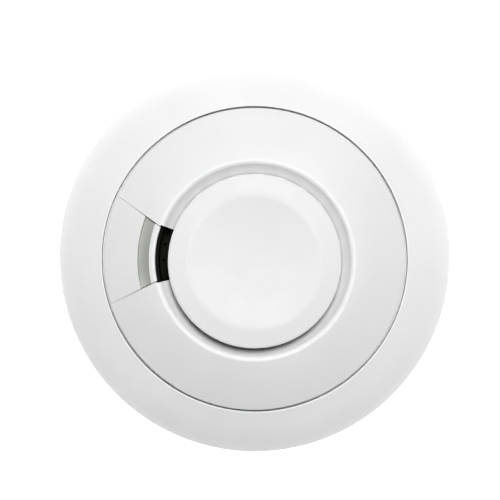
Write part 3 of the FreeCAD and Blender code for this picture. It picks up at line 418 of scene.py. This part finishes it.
def solder_mask(name, colour):
    """Green lacquer over copper tracks, which show as paler raised bands between dark gaps."""
    material, tree, shader = new_material(name)
    tracks = tree.nodes.new("ShaderNodeTexBrick")
    tracks.inputs["Scale"].default_value = TRACK_SCALE
    tracks.inputs["Mortar Size"].default_value = TRACK_GAP
    tree.links.new(surface_place(tree), tracks.inputs["Vector"])
    gap = tracks.outputs["Fac"]
    tint = cloudy(tree, noise(tree, size=4 * MM), colour, dark=0.85, pale=1.15)
    set_colour(tree, shader, colour, mix_colours(tree, gap, tint, shade(colour, GAP_SHADE)))
    set_roughness(tree, shader, noise(tree, size=3 * MM), low=0.25, high=0.35)
    raised = remap(tree, gap, low=1, high=0, start=0, end=1)
    add_bump(tree, shader, raised, depth=0.03 * MM, strength=0.6)
    return material


def bare_metal(name, colour):
    """Drawn or stamped metal: streaks along its grain, dull patches, bright rubbed edges."""
    material, tree, shader = new_material(name)
    shader.inputs["Metallic"].default_value = 1.0
    patches = remap(tree, noise(tree, size=3 * MM), low=0, high=1)
    tint = cloudy(tree, patches, colour, dark=0.8, pale=1.0)
    rubbed = shade_edges(tree, tint, colour, width=0.2 * MM, strength=0.6, factor=1.25)
    set_colour(tree, shader, colour, rubbed)
    streaks = noise(tree, size=0.6 * MM, detail=4, stretch=METAL_GRAIN)
    set_roughness(tree, shader, streaks, low=0.22, high=0.42)
    add_bump(tree, shader, streaks, depth=0.01 * MM, strength=0.5)
    return material


def screen_mesh(name, colour):
    """Black screen: a fine check of threads that stand up paler over darker gaps."""
    material, tree, shader = new_material(name)
    weave = tree.nodes.new("ShaderNodeTexChecker")
    weave.inputs["Scale"].default_value = 1 / WIRE_WIDTH
    tree.links.new(surface_place(tree), weave.inputs["Vector"])
    thread = weave.outputs["Fac"]
    set_colour(tree, shader, colour, cloudy(tree, thread, colour, dark=0.4, pale=1.3))
    set_roughness(tree, shader, thread, low=0.45, high=0.7, start=0, end=1)
    add_bump(tree, shader, thread, depth=0.1 * MM, strength=0.8)
    return material


def make_finish(slot, colour):
    if slot in ("head_white", "housing_white", "base_white"):
        # The head's white moulding also gets painted shade in its groove
        return satin_moulding(slot, colour, groove_shaded=slot == "head_white")
    if slot in ("terminal_white", "latch_white"):
        return satin_moulding(slot, colour, roughness=0.45, grain=0.3)
    if slot in ("black_plastic", "chip_black"):
        return dark_moulding(slot, colour)
    if slot == "window_grey":
        return light_guide(slot, colour)
    if slot in ("lens_clear", "lens_dark", "lamp_red", "lamp_green", "lamp_yellow"):
        return clear_epoxy(slot, colour)
    if slot == "board_green":
        return solder_mask(slot, colour)
    if slot == "screen_dark":
        return screen_mesh(slot, colour)
    if slot in ("brass", "steel", "cell_steel"):
        return bare_metal(slot, colour)
    return lacquered(slot, colour)


def dress_nodes():
    colours = {finish["slot"]: finish["base_color"][:3] for finish in frame["record"]["materials"]}
    colours["housing_white"] = HOUSING_COLOUR
    made = {slot: make_finish(slot, colour) for slot, colour in colours.items()}
    for part in frame["record"]["subparts"]:
        mesh = nodes[part["node"]].data
        mesh.materials.clear()
        mesh.materials.append(made[part["material_slot"]])


# Insect gauze

def weave_place(strand, row, side):
    """Where a strand and a row cross. Side is 1 for the strand, -1 for the row: they swap by turns."""
    angle = 2 * math.pi * strand / GAUZE_STRANDS
    radius = GAUZE_RADIUS + side * (-1) ** (strand + row) * WIRE_WIDTH / 2
    height = GAUZE_BOTTOM + (GAUZE_TOP - GAUZE_BOTTOM) * row / (GAUZE_ROWS - 1)
    return Vector((radius * math.cos(angle), radius * math.sin(angle), height))


def add_wire(bm, places, closed):
    """A square wire through the given places: closed and round the axis, or upright with two ends."""
    rings = []
    for place in places:
        out = Vector((place.x, place.y, 0)).normalized() * WIRE_WIDTH / 2
        across = Vector((0, 0, WIRE_WIDTH / 2)) if closed else Vector((-out.y, out.x, 0))
        corners = (out + across, across - out, -out - across, out - across)
        rings.append([bm.verts.new(place + corner) for corner in corners])
    pairs = list(zip(rings, rings[1:]))
    if closed:
        pairs.append((rings[-1], rings[0]))
    else:
        bm.faces.new(rings[0])
        bm.faces.new(rings[-1])
    for near, far in pairs:
        for index in range(4):
            bm.faces.new((near[index], near[index - 1], far[index - 1], far[index]))


def add_gauze():
    """Plain-woven gauze, strands up and rows round, that keeps insects out of the chamber."""
    bm = bmesh.new()
    for strand in range(GAUZE_STRANDS):
        add_wire(bm, [weave_place(strand, row, 1) for row in range(GAUZE_ROWS)], closed=False)
    for row in range(GAUZE_ROWS):
        add_wire(bm, [weave_place(strand, row, -1) for strand in range(GAUZE_STRANDS)], closed=True)
    bmesh.ops.recalc_face_normals(bm, faces=bm.faces)
    mesh = bpy.data.meshes.new("insect_gauze")
    bm.to_mesh(mesh)
    bm.free()
    gauze_wires = add_object("insect_gauze", mesh)
    mesh.materials.append(nodes["insect_screen"].data.materials[0])
    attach(gauze_wires, "head")


add_camera()
add_floor()
add_walls()
add_softbox()
set_contrast()
dress_nodes()
add_gauze()
